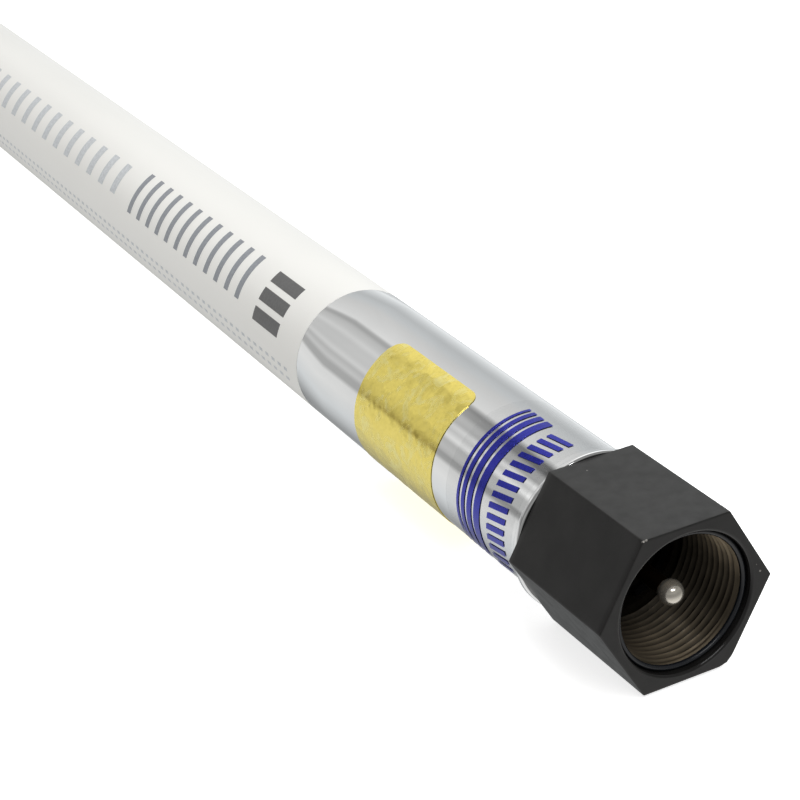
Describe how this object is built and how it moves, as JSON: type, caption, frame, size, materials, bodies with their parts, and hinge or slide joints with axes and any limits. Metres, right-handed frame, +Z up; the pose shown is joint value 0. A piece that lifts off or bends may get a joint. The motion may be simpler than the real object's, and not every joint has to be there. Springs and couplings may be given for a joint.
{
  "type": "omnidirectional antenna",
  "caption": "White fibreglass whip antenna with a chromed base sleeve and a threaded hexagonal base that holds a sprung centre contact.",
  "frame": {"origin": "middle of the antenna's length, on the surface that it lies on", "axes": "+Y along the antenna from the threaded mouth to the tip, +Z up out of a hexagon flat, +X across two hexagon corners"},
  "size_m": [0.0346, 1.2, 0.0312],
  "materials": {
    "black_anodised": "satin black anodised",
    "black_rubber": "smooth",
    "bright_nickel": "polished nickel",
    "brass": "turned",
    "spring_steel": "satin",
    "insulator_plastic": "moulded",
    "mirror_chrome": "mirror chrome",
    "gold_foil": "wrinkled metallic foil",
    "blue_print": "gloss film with blue ink",
    "white_fibreglass": "satin white",
    "white_foam": "foamed",
    "enamelled_copper": "enamelled",
    "glazed_ceramic": "glazed",
    "red_wire_cover": "smooth"
  },
  "bodies": {
    "antenna": {"hex_ferrule": "black_anodised", "mouth_seal": "black_rubber", "contact_insulator": "insulator_plastic", "snap_ring": "spring_steel", "barrel_nut": "brass", "contact_barrel": "brass", "contact_spring": "spring_steel", "contact_plug": "brass", "base_sleeve": "mirror_chrome", "gold_label": "gold_foil", "print_film": "blue_print", "radome_tube": "white_fibreglass", "end_cap": "white_fibreglass", "end_plug": "white_foam", "coil_former": "insulator_plastic", "matching_coil": "enamelled_copper", "ground_wire": "enamelled_copper", "feed_wire": "red_wire_cover", "matching_capacitor": "glazed_ceramic", "radiator_socket": "brass", "radiator_rod": "brass", "rod_spacer_1": "white_foam", "rod_spacer_2": "white_foam", "rod_spacer_3": "white_foam", "rod_spacer_4": "white_foam", "rod_spacer_5": "white_foam", "rod_spacer_6": "white_foam"},
    "contact": {"contact_pin": "bright_nickel"}
  },
  "joints": [
    {"name": "contact_press", "type": "slide", "parent": "antenna", "child": "contact", "axis": [0, 1, 0], "range_m": [0, 0.002], "stiffness_N_per_m": 600, "springref_m": -0.002, "deforming": ["contact_spring"]}
  ]
}
